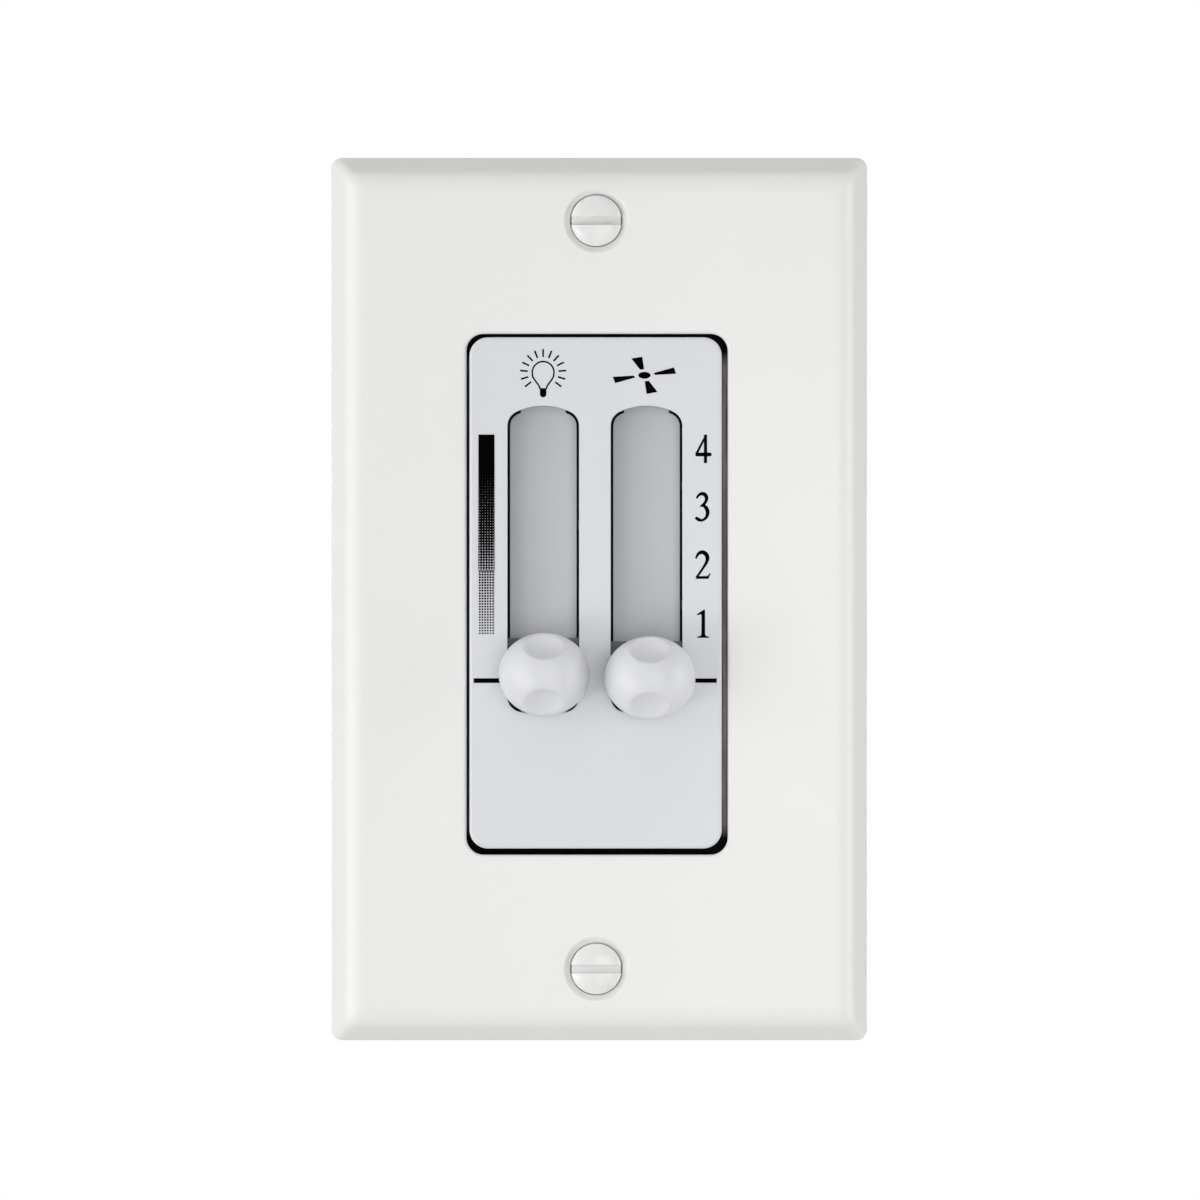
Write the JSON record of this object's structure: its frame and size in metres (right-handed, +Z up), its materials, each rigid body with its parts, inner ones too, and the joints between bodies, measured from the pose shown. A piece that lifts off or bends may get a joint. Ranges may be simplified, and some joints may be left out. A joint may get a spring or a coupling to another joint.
{
  "type": "wall dimmer slide switch",
  "caption": "Flat upright wall control in a bevelled white plate, with ball knobs on slots that set light and fan, on a metal strap with a box housing behind.",
  "frame": {"origin": "midway between the two plate screws, in the plane of the wall that the plate's rim and the strap's ears rest on", "axes": "+X to the right and +Z up as seen from the room, +Y into the wall; the knobs stand out along -Y"},
  "size_m": [0.0695, 0.048, 0.1143],
  "materials": {
    "plate_white": "satin moulded white",
    "insert_white": "satin moulded cool white",
    "knob_white": "polished moulded white",
    "floor_grey": "matt moulded pale grey",
    "carrier_grey": "matt moulded grey",
    "painted_steel": "white paint on steel",
    "zinc_steel": "zinc plated",
    "black_anodised": "black anodised aluminium sheet",
    "green_steel": "green passivated steel",
    "fibre": "vulcanised fibre",
    "black_plastic": "fine textured moulded black",
    "board_green": "solder mask over glass laminate",
    "phenolic": "phenolic paper board",
    "brass": "rolled bronze strip",
    "capacitor_grey": "moulded grey case",
    "capacitor_yellow": "dipped yellow case",
    "ferrite": "coated iron powder",
    "copper": "enamelled copper wire",
    "resistor_tan": "lacquered body",
    "diode_blue": "coated glass body",
    "silicone_pad": "filled silicone sheet"
  },
  "bodies": {
    "wall_control": {"wall_plate": "plate_white", "plate_screw_top": "painted_steel", "plate_screw_bottom": "painted_steel", "face_insert": "insert_white", "guide_frame": "floor_grey", "mounting_strap": "black_anodised", "box_screw_top": "zinc_steel", "box_screw_bottom": "zinc_steel", "screw_retainer_top": "fibre", "screw_retainer_bottom": "fibre", "ground_screw": "green_steel", "rear_housing": "black_plastic", "housing_screw_top_left": "zinc_steel", "housing_screw_top_right": "zinc_steel", "housing_screw_bottom_left": "zinc_steel", "housing_screw_bottom_right": "zinc_steel", "lead_bushing_1": "black_plastic", "lead_bushing_2": "black_plastic", "lead_bushing_3": "black_plastic", "circuit_board": "board_green", "light_pot_case": "black_plastic", "light_track_board": "phenolic", "fan_switch_case": "black_plastic", "fan_contact_board": "phenolic", "fan_detent_strip": "zinc_steel", "fan_capacitor_large": "capacitor_grey", "fan_capacitor_small": "capacitor_grey", "dimmer_capacitor": "capacitor_yellow", "choke_core": "ferrite", "choke_winding": "copper", "diac": "diode_blue", "timing_resistor": "resistor_tan", "bleed_resistor": "resistor_tan", "triac": "black_plastic", "triac_pad": "silicone_pad", "triac_rivet": "zinc_steel"},
    "light_slider": {"light_knob": "knob_white", "light_carrier": "carrier_grey", "light_link": "black_plastic", "light_pot_lever": "black_plastic", "light_wiper": "brass"},
    "fan_slider": {"fan_knob": "knob_white", "fan_carrier": "carrier_grey", "fan_link": "black_plastic", "fan_switch_lever": "black_plastic", "fan_bridge_contact": "brass", "fan_detent_spring": "zinc_steel"},
    "detent_ball": {"fan_detent_ball": "zinc_steel"}
  },
  "joints": [
    {"name": "light_slide", "type": "slide", "parent": "wall_control", "child": "light_slider", "axis": [0, 0, 1], "range_m": [-0.00043, 0.02917]},
    {"name": "fan_slide", "type": "slide", "parent": "wall_control", "child": "fan_slider", "axis": [0, 0, 1], "range_m": [0, 0.0296]},
    {"name": "fan_detent", "type": "slide", "parent": "fan_slider", "child": "detent_ball", "axis": [1, 0, 0], "range_m": [0, 0.0004], "stiffness_N_per_m": 1500, "springref_m": 0.0015, "deforming": ["fan_detent_spring"]}
  ]
}
